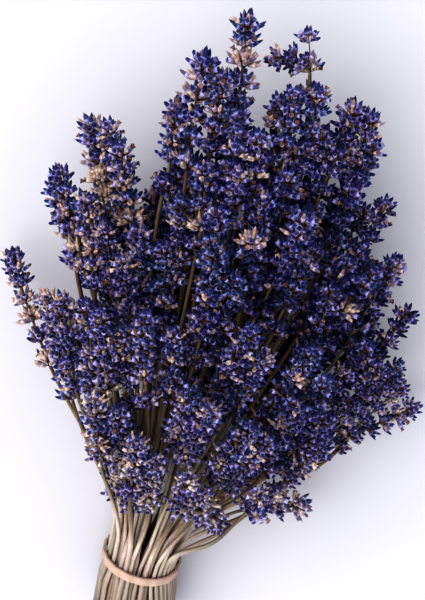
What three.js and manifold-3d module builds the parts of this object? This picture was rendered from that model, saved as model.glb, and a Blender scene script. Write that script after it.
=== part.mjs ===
// A tied bunch of dried lavender, lying down: spikes of buds on square stems that one elastic
// band gathers. Millimetres, +Z up, cut ends towards -Y, spikes towards +Y.
import * as THREE from "three";
import { mergeVertices } from "three/addons/utils/BufferGeometryUtils.js";
import Module from "manifold-3d";

const wasm = await Module();
wasm.setup();

const { clamp, degToRad: degrees, lerp, radToDeg } = THREE.MathUtils;

// The bundle of stems
const STEM_SIDE = 2.3; // across the flats of one square stem
const BUNDLE_RADIUS = 18.5; // of the packed stems where the band holds them
const STEM_PITCH = 3.25; // between the middles of stems held side by side
const CORE_RADIUS = 17.1; // of the packed middle of the bundle, half-way into the outer stems
const CORE_SIDES = 20;
const CORE_ABOVE = 24; // how far the packed middle runs past the band, towards the spikes
const CORE_BELOW = 30; // and towards the cut ends
const STUB = 40; // from the band to the cut ends
const STUB_UNEVEN = 4; // the cut ends are this uneven, each way
const STUB_SHIFT = 4; // the cut ends lie this far right of the bundle's line
const FLARE = 1.2; // the bundle is this much wider at its cut ends than at the band
const STRAIGHT = 5; // the stems run side by side this far each way from the band
const LONG_STEM = 70; // above the band, a stem longer than this has one bend more
const BUNDLE_RISE = degrees(10); // the bundle climbs from its cut ends to its spikes
const FLAT_DEPTH = 0.9; // how much of the lowest cut stems the surface flattens

// The elastic band
const BAND_WIDTH = 4;
const BAND_THICKNESS = 1.4;
const BAND_EDGE = 0.4; // taken off its outer edges
const BAND_GAP = 0.35; // clear of the outermost stem's corners
const BAND_SIDES = 32;

// The fan of spikes, as angles from the bundle's own line and distances from the band
const PAIRS = 39; // places in the fan, each with two spikes grown into each other
const GOLDEN_ANGLE = Math.PI * (3 - Math.sqrt(5));
const FAN_TURN = degrees(1.5); // the fan's middle lies this far right of the bundle's line
const SPREAD_SIDE = degrees(31);
const SPREAD_UP = degrees(34);
const SPREAD_DOWN = degrees(20);
const LEAN = 0.85; // spikes straighten up: they turn out by this share of their place's angle
const WANDER = degrees(4); // and by this much more or less
const RIM_ABOVE = 76; // reach of the highest spikes, which hang back to the band
const RIM_BELOW = 104; // and of the lowest, which lie under the stems
const RIM_POWER = 1.45; // how the reach falls from the middle of the fan to them
const RIM_UNEVEN = [0.8, 1.05]; // each falls by this share of that
const SIDE_SHORT = 0.15; // spikes at the sides fall short of the outline by up to this share
const TIP_UNEVEN = 8; // and each by up to this distance
// The outline seen from above: sideways angle in degrees, reach of the longest spike there
const CROWN = [
  [-36, 120], [-33, 146], [-27, 178], [-24, 205], [-18, 228], [-13, 204], [-10, 232],
  [-7, 262], [-4, 280], [-1, 238], [2, 260], [6, 252], [9, 252], [12, 238], [16, 228],
  [21, 210], [27, 196], [31, 176], [35, 146], [39, 122],
];
// Spikes that stand out of the mass: sideways and upward angle of the tip, reach, length and
// the sideways angle that the spike points at
const STRAYS = [
  { name: "crown", side: -4, rise: 11, reach: 287, length: 52, point: -8 },
  { name: "crown_left", side: -7, rise: 13, reach: 269, length: 52, point: -5 },
  { name: "crown_right", side: 2, rise: 11.5, reach: 264, length: 50, point: -5 },
  { name: "crown_sprig", side: 1, rise: 8, reach: 281, length: 32, point: -14 },
  { name: "crown_twig", side: -2, rise: 9, reach: 264, length: 24, point: -66 },
  { name: "shoulder_right", side: 7.5, rise: 8, reach: 260, length: 48, point: -6 },
  { name: "shoulder_right_low", side: 10.5, rise: 8, reach: 251, length: 52, point: 3 },
  { name: "side_right", side: 15, rise: 8, reach: 231, length: 52, point: 3 },
  { name: "shoulder_low", side: 20, rise: 9, reach: 212, length: 52, point: 12 },
  { name: "flank_right", side: 26, rise: 7, reach: 196, length: 52, point: 18 },
  { name: "flank_low", side: 31.5, rise: 9, reach: 172, length: 52, point: 26 },
  { name: "shoulder_left", side: -18.5, rise: 9, reach: 233, length: 60, point: -23 },
  { name: "shoulder_left_low", side: -16.5, rise: 10, reach: 224, length: 54, point: -20 },
  { name: "side_left", side: -24, rise: 7, reach: 212, length: 52, point: -28 },
  { name: "flank_left", side: -32, rise: 6, reach: 152, length: 50, point: -44 },
  { name: "collar_left", side: -29, rise: 22, reach: 78, length: 36, point: -42 },
  { name: "stray_left", side: -36.5, rise: -1, reach: 171, length: 60, point: -31 },
  { name: "stray_right", side: 43, rise: -2, reach: 165, length: 58, point: 54 },
  { name: "stray_low", side: 55, rise: 0, reach: 92, length: 38, point: 70 },
];

// One spike: rows of pointed buds raised from a slim core
const BUDS = 5; // in one row round the spike
const ROW_PITCH = 10.5; // between the rows, about
const SPIKE_REACH = 7.2; // of the buds' tips from the spike's line
const LEAST_REACH = 4.2; // a crowded spike's buds are still this long
const SPIKE_CORE = 2.9; // radius that the buds stand on
const FOOT_RADIUS = 1.5; // of the spike's foot, and of the bare stem above a lone lowest row
const PARTED = 0.4; // share of the spikes whose lowest row stands alone
const FIRST_ROW = 0.86; // the lowest row's buds are this share of the full reach
const LAST_ROW = 0.6; // and the topmost row's
const LENGTHS = [46, 58]; // shortest and longest spike of the fan
const RIM_SHORTER = 0.2; // the highest and lowest are shorter by this share
const SEAT = 0.3; // from a stem's top to its spike's foot
const CLEARANCE = 0.35; // between neighbours that aren't grown together
const PAIR_GAP = 9.8; // between the lines of two spikes grown together
const PAIR_STAGGER = [4, 12]; // the second one's tip lies this far back
const PAIR_TILT = [1, 2.2]; // radians above the horizon of the line that it lies square to
const TURNS_TRIED = 40;

// How spikes settle side by side: each round draws them home by these shares of the way
const SETTLING_ROUNDS = 160;
const HOLD_STRAY = 0.2;
const HOLD_FAN = 0.03;
const FINEST = 0.03; // slivers narrower than this are closed up
const SEED = 40;

// A seeded source of numbers from 0 to 1
function numbers(seed) {
  let state = seed >>> 0;
  return () => {
    state = (state + 0x6d2b79f5) >>> 0;
    let t = Math.imul(state ^ (state >>> 15), 1 | state);
    t = (t + Math.imul(t ^ (t >>> 7), 61 | t)) ^ t;
    return ((t ^ (t >>> 14)) >>> 0) / 4294967296;
  };
}
const random = numbers(SEED);
const between = (low, high) => lerp(low, high, random());

// Unit vector at a sideways angle and an angle above the horizon
function heading(side, rise) {
  return new THREE.Vector3(
    Math.sin(side) * Math.cos(rise),
    Math.cos(side) * Math.cos(rise),
    Math.sin(rise),
  );
}

// The bundle's own axes: along it towards the spikes, and up across it
const ALONG = heading(0, BUNDLE_RISE);
const ACROSS = new THREE.Vector3(1, 0, 0);
const UPWARD = new THREE.Vector3().crossVectors(ACROSS, ALONG);
const HALF_STEM = STEM_SIDE / 2;
const STEM_CORNER = HALF_STEM * Math.SQRT2;
const SLOT_ROOM = BUNDLE_RADIUS - HALF_STEM; // farthest that a stem's middle lies from the line

// The band's centre, at the height that sets the lowest cut ends on the surface
const LOWEST_STUB =
  STUB * Math.sin(BUNDLE_RISE) + SLOT_ROOM * FLARE * Math.cos(BUNDLE_RISE) + HALF_STEM;
const TIE = new THREE.Vector3(0, 0, LOWEST_STUB - FLAT_DEPTH);

// Reach of the longest spike at a sideways angle
function crownReach(side) {
  const angle = clamp(radToDeg(side), CROWN[0][0], CROWN.at(-1)[0]);
  const next = Math.max(1, CROWN.findIndex(([a]) => a >= angle));
  const [[a, low], [b, high]] = [CROWN[next - 1], CROWN[next]];
  return lerp(low, high, (angle - a) / (b - a));
}

// A spike is a line from its base to its tip, with a home that it is held to
function spike(node, tip, along, length, hold) {
  const base = tip.clone().addScaledVector(along, -length);
  return { node, tip, base, length, hold, home: [base.clone(), tip.clone()], mate: null };
}

function strays() {
  return STRAYS.map(({ name, side, rise, reach, length, point }) => {
    const tip = TIE.clone().addScaledVector(heading(degrees(side), degrees(rise)), reach);
    const lift = BUNDLE_RISE + (degrees(rise) - BUNDLE_RISE) * LEAN;
    return spike("spike_" + name, tip, heading(degrees(point), lift), length, HOLD_STRAY);
  });
}

// The places of the fan lie on a sunflower spiral, so they share its cross-section evenly.
// The higher or lower a place, the nearer the band its spikes hang
function fan() {
  return Array.from({ length: PAIRS }, (_, place) => {
    const out = Math.sqrt((place + 0.5) / PAIRS);
    const turn = place * GOLDEN_ANGLE;
    const above = Math.sin(turn) > 0;
    const side = FAN_TURN + SPREAD_SIDE * out * Math.cos(turn);
    const lift = (above ? SPREAD_UP : SPREAD_DOWN) * out * Math.sin(turn);
    const fall = (out * Math.abs(Math.sin(turn))) ** RIM_POWER * between(...RIM_UNEVEN);
    const short = between(0, SIDE_SHORT) * out * Math.abs(Math.cos(turn));
    const outline = lerp(crownReach(side), above ? RIM_ABOVE : RIM_BELOW, fall);
    const reach = outline * (1 - short) - between(0, TIP_UNEVEN);
    const tip = TIE.clone().addScaledVector(heading(side, BUNDLE_RISE + lift), reach);
    const sideways = side * LEAN + between(-WANDER, WANDER);
    const along = heading(sideways, BUNDLE_RISE + lift * LEAN + between(-WANDER, WANDER));
    return pair("spike_pair_" + String(place + 1).padStart(2, "0"), tip, along, fall);
  }).flat();
}

function pair(node, tip, along, fall) {
  const length = () => between(...LENGTHS) * (1 - RIM_SHORTER * fall);
  const first = spike(node, tip, along, length(), HOLD_FAN);
  const beside = new THREE.Vector3().crossVectors(along, heading(0, between(...PAIR_TILT)));
  const mateTip = tip
    .clone()
    .addScaledVector(beside.normalize(), PAIR_GAP)
    .addScaledVector(along, -between(...PAIR_STAGGER));
  const second = spike(node, mateTip, along.clone(), length(), HOLD_FAN);
  first.mate = second;
  second.mate = first;
  return [first, second];
}

// Nearest points of segments p-q and r-s, as shares along each, and the gap between them
function nearest(p, q, r, s) {
  const d1 = q.clone().sub(p);
  const d2 = s.clone().sub(r);
  const w = p.clone().sub(r);
  const [a, e, b, c, f] = [d1.dot(d1), d2.dot(d2), d1.dot(d2), d1.dot(w), d2.dot(w)];
  const skew = a * e - b * b;
  let t = skew > 1e-9 ? clamp((b * f - c * e) / skew, 0, 1) : 0.5;
  const u = clamp((b * t + f) / e, 0, 1);
  t = clamp((b * u - c) / a, 0, 1);
  const apart = p.clone().addScaledVector(d1, t).sub(r).addScaledVector(d2, -u);
  return { t, u, apart, gap: apart.length() };
}

// A stem's place in the bundle: its spike's direction from the band, as a share of the spread
function slotOf(base) {
  const w = base.clone().sub(TIE);
  const side = (Math.atan2(w.x, w.y) - FAN_TURN) / SPREAD_SIDE;
  const lift = Math.atan2(w.z, Math.hypot(w.x, w.y)) - BUNDLE_RISE;
  const slot = new THREE.Vector2(side, lift / (lift > 0 ? SPREAD_UP : SPREAD_DOWN));
  return slot.multiplyScalar(SLOT_ROOM / Math.max(1, slot.length()));
}

// Stems side by side: each slot is pushed off its neighbours, inside the band
function packSlots(slots) {
  for (let round = 0; round < 60; round++) {
    slots.forEach((a, i) =>
      slots.slice(i + 1).forEach((b) => {
        const gap = b.clone().sub(a);
        const short = STEM_PITCH - gap.length();
        if (short <= 0) return;
        gap.setLength(short / 2);
        a.sub(gap);
        b.add(gap);
      }),
    );
    slots.forEach((slot) => slot.clampLength(0, SLOT_ROOM));
  }
}

function inBundle(slot, along, widen = 1) {
  return TIE.clone()
    .addScaledVector(ACROSS, slot.x * widen)
    .addScaledVector(UPWARD, slot.y * widen)
    .addScaledVector(ALONG, along);
}

// A stem leaves the band along the bundle, bends out and arrives along its spike's own line.
// One that turns hard there bends late. The curve's joints lie close together near the spike
function stemAbove({ base, tip, length }, slot) {
  const along = tip.clone().sub(base).divideScalar(length);
  const foot = base.clone().addScaledVector(along, -SEAT);
  const start = inBundle(slot, STRAIGHT);
  const far = start.distanceTo(foot);
  const chord = foot.clone().sub(start).divideScalar(far);
  const late = Math.max(along.dot(chord) ** 2, 0.3);
  const leaving = chord.clone().add(ALONG).normalize();
  const curve = new THREE.CubicBezierCurve3(
    start,
    start.clone().addScaledVector(leaving, far * 0.3),
    foot.clone().addScaledVector(along, -far * 0.3 * late),
    foot,
  );
  const joints = far > LONG_STEM ? [0, 0.45, 1 - 0.12 * late, 1] : [0, 1 - 0.18 * late, 1];
  return joints.map((t) => curve.getPoint(t));
}

// Moves a spike's ends so that the point at a share of its length moves the whole way
function push(one, share, by) {
  one.base.addScaledVector(by, 1 - share);
  one.tip.addScaledVector(by, share);
}

// Two spikes share the way to their right distance: apart, or just in touch for a pair
function partSpikes(one, other) {
  const paired = one.mate === other;
  const reach = paired ? PAIR_GAP : 2 * SPIKE_REACH + CLEARANCE;
  if (one.tip.distanceTo(other.tip) > reach + one.length + other.length) return;
  const { t, u, apart, gap } = nearest(one.base, one.tip, other.base, other.tip);
  const short = reach - gap;
  if (paired ? Math.abs(short) < 0.05 : short <= 0) return;
  const by = apart.multiplyScalar((short * 0.5) / Math.max(gap, 1e-3));
  push(one, t, by);
  push(other, u, by.clone().negate());
}

function partFromStem(one, points) {
  for (let k = 0; k < points.length - 1; k++) {
    const { t, apart, gap } = nearest(one.base, one.tip, points[k], points[k + 1]);
    const short = SPIKE_REACH + STEM_CORNER + CLEARANCE - gap;
    if (short > 0) push(one, t, apart.multiplyScalar((short * 0.6) / Math.max(gap, 1e-3)));
  }
}

// A spike stays above the surface and keeps its length
function restore(one) {
  for (const end of [one.base, one.tip]) {
    end.z = Math.max(end.z, SPIKE_REACH - FLAT_DEPTH / 2);
  }
  const middle = one.base.clone().add(one.tip).multiplyScalar(0.5);
  const along = one.tip.clone().sub(one.base).normalize();
  one.tip.copy(middle).addScaledVector(along, one.length / 2);
  one.base.copy(middle).addScaledVector(along, -one.length / 2);
}

// Spikes are drawn home, and pushed off each other, off other spikes' stems and up from the
// surface, until they lie side by side. The last rounds only push
function settle(spikes) {
  for (let round = 0; round < SETTLING_ROUNDS; round++) {
    const stems = spikes.map((one) => stemAbove(one, slotOf(one.base)));
    const drawn = round < SETTLING_ROUNDS * 0.8 ? 1 : 0;
    spikes.forEach((one, i) => {
      one.base.lerp(one.home[0], one.hold * drawn);
      one.tip.lerp(one.home[1], one.hold * drawn);
      spikes.slice(i + 1).forEach((other) => partSpikes(one, other));
      stems.forEach((points, j) => i !== j && partFromStem(one, points));
    });
    spikes.forEach(restore);
  }
}

// How far a spike's buds can reach without meeting a neighbour or a passing stem
function reachOf(one, spikes, stems) {
  const gaps = spikes.flatMap((other, j) => {
    if (other === one) return [];
    const passing = stems[j].slice(1).map((end, k) => {
      return nearest(one.base, one.tip, stems[j][k], end).gap - STEM_CORNER - CLEARANCE;
    });
    const { gap } = nearest(one.base, one.tip, other.base, other.tip);
    return other === one.mate ? passing : [...passing, (gap - CLEARANCE) / 2];
  });
  return clamp(Math.min(...gaps), LEAST_REACH, SPIKE_REACH);
}

// Triangles of a closed surface as a solid, and a solid as a geometry with flat faces
function toSolid(geometry) {
  const bare = geometry.index ? geometry.toNonIndexed() : geometry.clone();
  bare.deleteAttribute("normal");
  bare.deleteAttribute("uv");
  const merged = mergeVertices(bare, 1e-3);
  return new wasm.Manifold(
    new wasm.Mesh({
      numProp: 3,
      vertProperties: merged.attributes.position.array,
      triVerts: new Uint32Array(merged.index.array),
    }),
  );
}

function toGeometry(solid) {
  const { numProp, vertProperties, triVerts } = solid.simplify(FINEST).getMesh();
  const corners = [];
  for (const v of triVerts) corners.push(...vertProperties.slice(v * numProp, v * numProp + 3));
  const geometry = new THREE.BufferGeometry();
  geometry.setAttribute("position", new THREE.Float32BufferAttribute(corners, 3));
  geometry.computeVertexNormals();
  return geometry;
}

// Rings of one spike, foot to tip. A row of buds stands on the faces above a ring marked so.
// Rows crowd together and narrow towards the tip. A lone lowest row has bare stem above it
function spikeRings(length, parted) {
  const rows = Math.round(length / ROW_PITCH);
  const pitch = length / (rows + (parted ? 1.4 : 0.7));
  const rings = [{ at: 0, radius: FOOT_RADIUS, buds: true }];
  if (parted) {
    rings.push({ at: pitch * 0.9, radius: FOOT_RADIUS, buds: false });
    rings.push({ at: pitch * 1.6, radius: FOOT_RADIUS, buds: true });
  }
  while (rings.filter((ring) => ring.buds).length < rows) {
    const last = rings.at(-1).at;
    const left = clamp((length - last) / length, 0.3, 1);
    const radius = SPIKE_CORE * left ** 0.3;
    rings.push({ at: last + pitch * (0.8 + 0.3 * left), radius, buds: true });
  }
  return rings;
}

// A spike's surface along +Y from its foot. Each bud is a pyramid raised on one face between
// two rings, leaning up past the next ring, and each ring is turned half a bud from the last
function spikeGeometry({ length, reach }, parted) {
  const rings = spikeRings(length, parted);
  const top = rings.length - 1;
  const step = (2 * Math.PI) / BUDS;
  const tip = new THREE.Vector3(0, length, 0);
  const point = (radius, at, turns) =>
    new THREE.Vector3(radius * Math.sin(turns * step), at, radius * Math.cos(turns * step));
  const corner = (i, side) => point(rings[i].radius, rings[i].at, side + i / 2);
  const faces = [];
  for (let side = 0; side < BUDS; side++) {
    rings.forEach((ring, i) => {
      const above = i < top ? [corner(i + 1, side + 1), corner(i + 1, side)] : [tip];
      const edge = [corner(i, side), corner(i, side + 1), ...above];
      if (!ring.buds) {
        faces.push([edge[0], edge[1], edge[2]], [edge[0], edge[2], edge[3]]);
        return;
      }
      const next = i < top ? rings[i + 1].at : length;
      const share = i === 0 ? FIRST_ROW : i === top ? LAST_ROW : 1;
      const height = Math.min(lerp(ring.at, next, 1.02), length - 1);
      const apex = point(reach * share, height, side + i / 2 + (i < top ? 0.75 : 0.5));
      edge.forEach((a, k) => faces.push([a, edge[(k + 1) % edge.length], apex]));
    });
    if (side > 1) faces.push([corner(0, 0), corner(0, side), corner(0, side - 1)]);
  }
  return new THREE.BufferGeometry().setFromPoints(faces.flat());
}

function spikeSolid(one, parted) {
  const along = one.tip.clone().sub(one.base).normalize();
  const turn = new THREE.Quaternion().setFromUnitVectors(new THREE.Vector3(0, 1, 0), along);
  const geometry = spikeGeometry(one, parted);
  geometry.rotateY(between(0, Math.PI)).applyQuaternion(turn);
  geometry.translate(...one.base.toArray());
  return toSolid(geometry);
}

// Nothing reaches below the surface that the bunch lies on: what would is pressed flat there
const pressedFlat = (solid) => solid.trimByPlane([0, 0, 1], 0);

// A spike, or two whose buds reach into each other: they are turned until they do
function bloomSolid(members) {
  const parted = members.map(() => random() < PARTED);
  let solid;
  for (let turn = 0; turn < TURNS_TRIED; turn++) {
    solid = wasm.Manifold.union(members.map((one, i) => spikeSolid(one, parted[i])));
    if (solid.decompose().length === 1) break;
  }
  return pressedFlat(solid);
}

// A stem's path, straight between its points
class Jointed extends THREE.Curve {
  constructor(points) {
    super();
    this.points = points;
  }
  getPoint(t, target = new THREE.Vector3()) {
    const along = clamp(t, 0, 1) * (this.points.length - 1);
    const i = Math.min(Math.floor(along), this.points.length - 2);
    return target.lerpVectors(this.points[i], this.points[i + 1], along - i);
  }
  getPointAt(t, target) {
    return this.getPoint(t, target);
  }
  getTangentAt(t, target) {
    return this.getTangent(t, target);
  }
}

function stemSolid(points) {
  const h = HALF_STEM;
  const corners = [[-h, -h], [h, -h], [h, h], [-h, h]];
  const square = new THREE.Shape(corners.map((corner) => new THREE.Vector2(...corner)));
  const options = { steps: points.length - 1, extrudePath: new Jointed(points) };
  return toSolid(new THREE.ExtrudeGeometry(square, options));
}

// The packed middle of the bundle widens and leans with the stems towards their cut ends
function coreSolid() {
  const share = (CORE_BELOW - STRAIGHT) / (STUB - STRAIGHT);
  const foot = CORE_RADIUS * lerp(1, FLARE, share);
  const profile = [
    [0, -CORE_BELOW], [foot, -CORE_BELOW], [CORE_RADIUS, -STRAIGHT],
    [CORE_RADIUS, CORE_ABOVE], [0, CORE_ABOVE],
  ].map((p) => new THREE.Vector2(...p));
  const geometry = new THREE.LatheGeometry(profile, CORE_SIDES);
  const points = geometry.attributes.position;
  for (let i = 0; i < points.count; i++) {
    if (points.getY(i) < -STRAIGHT) points.setX(i, points.getX(i) + STUB_SHIFT * share);
  }
  geometry.rotateX(BUNDLE_RISE).translate(...TIE.toArray());
  return toSolid(geometry);
}

// All the stems, grown into one with the packed middle of the bundle
function bundleSolid(slots, stems) {
  const solids = stems.map((points, i) => {
    const stub = STUB + between(-STUB_UNEVEN, STUB_UNEVEN);
    const cut = inBundle(slots[i], -stub, FLARE).addScaledVector(ACROSS, STUB_SHIFT);
    return stemSolid([cut, inBundle(slots[i], -STRAIGHT), ...points]);
  });
  return pressedFlat(wasm.Manifold.union([...solids, coreSolid()]));
}

function bandGeometry() {
  const inner = SLOT_ROOM + STEM_CORNER + BAND_GAP;
  const outer = inner + BAND_THICKNESS;
  const half = BAND_WIDTH / 2;
  const profile = [
    [inner, -half], [outer - BAND_EDGE, -half], [outer, -half + BAND_EDGE],
    [outer, half - BAND_EDGE], [outer - BAND_EDGE, half], [inner, half], [inner, -half],
  ].map((p) => new THREE.Vector2(...p));
  return new THREE.LatheGeometry(profile, BAND_SIDES);
}

const matt = (color, roughness) =>
  new THREE.MeshStandardMaterial({ color, roughness, metalness: 0, flatShading: true });
const BLOOM = matt(0x3b3a78, 0.85);
const STRAW = matt(0x9c8c74, 0.8);
const ELASTIC = matt(0xd9bfae, 0.6);

function named(name, geometry, material) {
  const mesh = new THREE.Mesh(geometry, material);
  mesh.name = name;
  return mesh;
}

const spikes = [...strays(), ...fan()];
settle(spikes);
const slots = spikes.map((one) => slotOf(one.base));
packSlots(slots);
const stems = spikes.map((one, i) => stemAbove(one, slots[i]));
for (const one of spikes) one.reach = reachOf(one, spikes, stems);

const bunch = new THREE.Group();
bunch.add(named("stems", toGeometry(bundleSolid(slots, stems)), STRAW));

const band = named("elastic_band", bandGeometry(), ELASTIC);
band.rotation.x = BUNDLE_RISE;
band.position.copy(TIE);
bunch.add(band);

for (const node of new Set(spikes.map((one) => one.node))) {
  const members = spikes.filter((one) => one.node === node);
  bunch.add(named(node, toGeometry(bloomSolid(members)), BLOOM));
}

// The origin is on the surface, under the middle of the whole bunch
const middle = new THREE.Box3().setFromObject(bunch).getCenter(new THREE.Vector3());
bunch.position.set(-middle.x, -middle.y, 0);

export default bunch;
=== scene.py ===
# %% [markdown]
# # A tied bunch of dried lavender
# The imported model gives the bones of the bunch: where each flower spike stands, the stems and
# the band that holds them. This lesson dresses them. Every spike gets its whorls of ribbed
# calyxes and dark buds, every stem its square ridged section, and the band its rubber.
# Lengths are in millimetres while a piece is modelled, and it is brought to metres at the end.

import math
import random
from collections import namedtuple

import bmesh
import bpy
from mathutils import Matrix, Quaternion, Vector, geometry, noise


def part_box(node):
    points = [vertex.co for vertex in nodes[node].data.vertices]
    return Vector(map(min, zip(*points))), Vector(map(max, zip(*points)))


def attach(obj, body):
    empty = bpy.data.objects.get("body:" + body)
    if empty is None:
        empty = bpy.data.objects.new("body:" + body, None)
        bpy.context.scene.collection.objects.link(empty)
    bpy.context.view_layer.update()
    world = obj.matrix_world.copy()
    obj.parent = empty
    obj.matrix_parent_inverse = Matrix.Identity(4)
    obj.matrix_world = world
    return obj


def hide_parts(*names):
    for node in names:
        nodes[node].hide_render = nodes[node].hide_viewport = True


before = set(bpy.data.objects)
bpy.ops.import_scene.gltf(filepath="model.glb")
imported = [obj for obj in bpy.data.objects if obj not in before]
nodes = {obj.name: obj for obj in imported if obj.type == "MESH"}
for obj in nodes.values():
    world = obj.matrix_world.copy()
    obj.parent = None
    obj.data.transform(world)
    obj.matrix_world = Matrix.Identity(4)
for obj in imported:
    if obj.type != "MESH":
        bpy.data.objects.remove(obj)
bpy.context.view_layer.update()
MM = 0.001
print("nodes in the frame:", len(nodes))

# %% [markdown]
# ## Where the bunch lies, and the camera
# The band's own centre is the best landmark: the stems all pass through it. The photograph
# looks almost straight down, from a little beyond the flowers, and the camera is turned about
# its own axis so that the bunch leans in the picture.

# %% The band's centre and the bundle's own axes
low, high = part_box("elastic_band")
TIE = (low + high) / 2 / MM
BUNDLE_RISE = math.radians(10)
ACROSS = Vector((1, 0, 0))
ALONG = Vector((0, math.cos(BUNDLE_RISE), math.sin(BUNDLE_RISE)))
UPWARD = ACROSS.cross(ALONG)
print("the band's centre, mm:", [round(c, 1) for c in TIE])

# %% The camera
LOOK_TILT = math.radians(16)
LOOK_ROLL = math.radians(16.1)
LOOK_AT = TIE + Vector((-1.5, 147.4, 17.3))
LOOK_FROM = 550
VIEW_HEIGHT = math.radians(28.6)
SENSOR = 36
NEAREST, FARTHEST = 0.01, 20


def in_scene(name, data):
    """A new object, linked to the scene."""
    made = bpy.data.objects.new(name, data)
    bpy.context.scene.collection.objects.link(made)
    return made


back = Vector((0, math.sin(LOOK_TILT), math.cos(LOOK_TILT)))
level_up = Vector((0, math.cos(LOOK_TILT), -math.sin(LOOK_TILT)))
right = ACROSS * math.cos(LOOK_ROLL) + level_up * math.sin(LOOK_ROLL)
up = level_up * math.cos(LOOK_ROLL) - ACROSS * math.sin(LOOK_ROLL)
camera = in_scene("camera", bpy.data.cameras.new("camera"))
camera.data.sensor_width = SENSOR
camera.data.lens = SENSOR / 2 / math.tan(VIEW_HEIGHT / 2)
camera.data.clip_start, camera.data.clip_end = NEAREST, FARTHEST
turned = Matrix((right, up, back)).transposed().to_4x4()
camera.matrix_world = Matrix.Translation((LOOK_AT + back * LOOK_FROM) * MM) @ turned
bpy.context.scene.camera = camera
print("lens:", round(camera.data.lens, 1), "mm")

# %% [markdown]
# ## Reading the spikes from the frame
# Each spike's solid stands on a flat five-sided foot. The foot's middle triangle has one short
# and two long edges that nothing else in the mesh has, so it gives the place and direction of
# the spike. The one point that lies on the spike's own line, far from the foot, is its tip.

# %% Feet and tips
FOOT_RADIUS = 1.5
FOOT_SIDE = 2 * FOOT_RADIUS * math.sin(math.pi / 5)
FOOT_DIAGONAL = 2 * FOOT_RADIUS * math.sin(math.tau / 5)
CLOSE = 0.05
Spike = namedtuple("Spike", "node base tip parted")


def feet(mesh):
    """Middle and outward direction of each spike foot in a node's mesh."""
    found = []
    for face in mesh.polygons:
        corners = [mesh.vertices[i].co / MM for i in face.vertices]
        apex = max(corners, key=lambda c: sum((c - other).length for other in corners))
        a, b = [c for c in corners if c is not apex]
        lengths = ((a - b).length, (a - apex).length, (b - apex).length)
        wanted = (FOOT_SIDE, FOOT_DIAGONAL, FOOT_DIAGONAL)
        if all(abs(x - y) < CLOSE for x, y in zip(lengths, wanted)):
            middle = apex + ((a + b) / 2 - apex).normalized() * FOOT_RADIUS
            found.append((middle, -face.normal))
    return found


def about_line(mesh, base, axis):
    """Height along a line and distance from it, for each point of a mesh."""
    for vert in mesh.vertices:
        offset = vert.co / MM - base
        height = offset.dot(axis)
        yield height, (offset - axis * height).length


# %% [markdown]
# Some spikes have a lone lowest whorl with bare stem above it. Their solids have one ring more,
# as narrow as the foot, and its height tells them from the rest.

# %% Rows of a spike
ROW_PITCH = 10.5
PARTED_MORE, UNPARTED_MORE = 1.4, 0.7
NECK_SHARE = 0.9


def row_pitch(length, parted):
    """How many rows of buds a spike's solid has, and how far apart they are."""
    rows = round(length / ROW_PITCH)
    return rows, length / (rows + (PARTED_MORE if parted else UNPARTED_MORE))


def read_spikes(name):
    """The spikes of one node: foot, tip, and whether each is parted."""
    mesh = nodes[name].data
    spikes = []
    for base, axis in feet(mesh):
        points = list(about_line(mesh, base, axis))
        length = max(height for height, away in points if away < CLOSE)
        neck = row_pitch(length, True)[1] * NECK_SHARE
        parted = any(
            abs(height - neck) < CLOSE and abs(away - FOOT_RADIUS) < CLOSE
            for height, away in points
        )
        spikes.append(Spike(name, base, base + axis * length, parted))
    return spikes


spike_nodes = sorted(name for name in nodes if name.startswith("spike_"))
spikes = [one for name in spike_nodes for one in read_spikes(name)]
print("spikes read:", len(spikes), "parted:", sum(one.parted for one in spikes))

# %% [markdown]
# ## Spikes that fill the fan
# The solids leave room between spikes. In the real bunch younger spikes grow into that room and
# their buds lock into their neighbours'. Those that show at the edge or on top of the fan are
# listed with their foot and tip. The rest grow part of the way between two spikes that stand
# near each other, and of many tries the one with the most room is kept.

# %% Spikes at the edge and on top of the fan
EDGE_SPIKES = [
    ((-25, 102, 74), (-29, 137, 86)), ((-41, 78, 62), (-45, 120, 74)),
    ((2, 91, 62), (-3, 135, 74)), ((15, 103, 70), (11, 143, 82)),
    ((38, 96, 54), (36, 137, 62)), ((-55, 57, 56), (-73, 102, 66)),
    ((-73, 29, 46), (-94, 67, 50)), ((-25, -79, 46), (-42, -43, 56)),
    ((-16, -78, 58), (-33, -41, 70)), ((-38, 34, 34), (-47, 74, 42)),
    ((21, 60, 56), (17, 99, 66)), ((3, 64, 50), (2, 107, 60)),
    ((37, 65, 58), (37, 106, 66)), ((17, -61, 68), (30, -76, 62)),
    ((-40, 13, 28), (-56, 55, 36)), ((-20, 40, 44), (-28, 82, 56)),
    ((-13, 50, 56), (-16, 92, 66)), ((-26, 28, 30), (-36, 72, 40)),
    ((-19, 60, 83), (-26, 101, 93)), ((-7, 62, 85), (-12, 103, 93)),
    ((-25, 42, 75), (-32, 84, 86)), ((6, 56, 83), (2, 96, 92)),
    ((-10, 46, 89), (-14, 86, 99)), ((6, 42, 90), (0, 80, 99)),
    ((13, 66, 76), (9, 106, 86)), ((38, 26, 80), (41, 66, 88)),
    ((37, -31, 78), (42, 14, 96)), ((-6, -2, 77), (-11, 40, 91)),
]
PARTED_EDGE = {2, 5, 7, 10, 17, 20, 24, 28}
edge = [
    Spike(f"spike_edge_{number:02d}", Vector(foot), Vector(tip), number in PARTED_EDGE)
    for number, (foot, tip) in enumerate(EDGE_SPIKES, 1)
]
print("spikes at the edge and on top:", len(edge))

# %% Spikes between others
SEED = 11
noise.seed_set(SEED)  # else it starts by the clock
FILLING = 3
TRIES = 90
NEIGHBOURS = 55
CROWN = 110
BETWEEN = (0.3, 0.7)
PARTED_SHARE = 0.4
MARKS = (0.0, 0.25, 0.5, 0.75, 1.0)


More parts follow.
